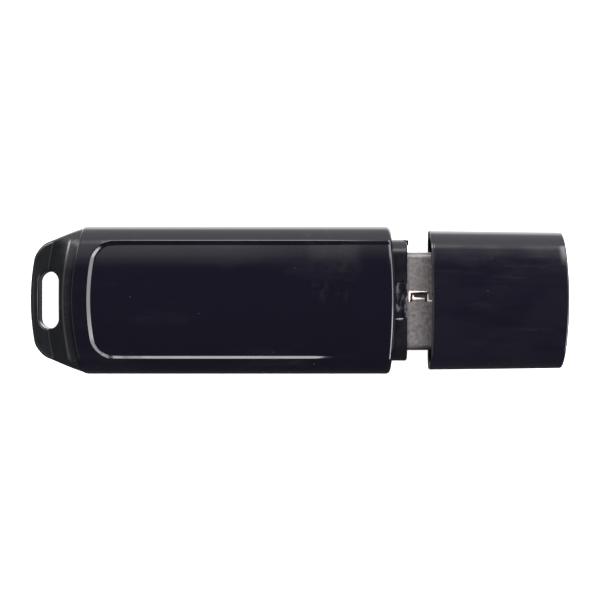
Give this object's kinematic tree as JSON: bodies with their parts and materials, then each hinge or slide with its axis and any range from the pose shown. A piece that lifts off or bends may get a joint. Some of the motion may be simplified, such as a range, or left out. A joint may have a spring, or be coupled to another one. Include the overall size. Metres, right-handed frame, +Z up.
{
  "type": "usb flash drive",
  "caption": "USB flash drive with a glossy two-shell housing, a lanyard slot in its tail, a USB-A plug and a pull-off cap, shown partly pulled off.",
  "frame": {"origin": "bottom centre of the whole drive with the cap partly pulled off, on the surface it lies on", "axes": "+X towards the plug's tip and the cap, +Y across the drive, +Z up from the flat belly to the side with the label recess"},
  "size_m": [0.0658, 0.0182, 0.0086],
  "materials": {
    "shell_gloss": "glossy moulded plastic, near black with a navy tint",
    "cap_gloss": "glossy moulded plastic, near black with a navy tint",
    "tail_plastic": "semi-gloss dark grey plastic",
    "collar_plastic": "satin black plastic",
    "plug_steel": "nickel-plated steel, satin",
    "insulator_plastic": "black plastic",
    "contact_gold": "gold-plated contact",
    "board_laminate": "green solder mask over laminate",
    "chip_plastic": "moulded package",
    "lead_tin": "tin-plated lead",
    "part_ceramic": "dark ceramic",
    "can_metal": "nickel lid",
    "capacitor_ceramic": "tan ceramic",
    "solder": "solder",
    "insert_plastic": "black plastic"
  },
  "bodies": {
    "drive": {"upper_shell": "shell_gloss", "lower_shell": "shell_gloss", "tail_loop": "tail_plastic", "neck_collar": "collar_plastic", "plug_shell": "plug_steel", "plug_insulator": "insulator_plastic", "contact_pins": "contact_gold", "circuit_board": "board_laminate", "flash_chip": "chip_plastic", "flash_chip_leads": "lead_tin", "controller_chip": "chip_plastic", "controller_leads": "lead_tin", "crystal_base": "part_ceramic", "crystal_lid": "can_metal", "capacitors": "capacitor_ceramic", "capacitor_terminals": "lead_tin", "resistors": "part_ceramic", "resistor_terminals": "lead_tin", "voltage_regulator": "chip_plastic", "regulator_leads": "lead_tin", "solder_joints": "solder"},
    "cap": {"cap_shell": "cap_gloss", "cap_insert": "insert_plastic"}
  },
  "joints": [
    {"name": "cap_slide", "type": "slide", "parent": "drive", "child": "cap", "axis": [1, 0, 0], "range_m": [-0.0044, 0.014]}
  ]
}
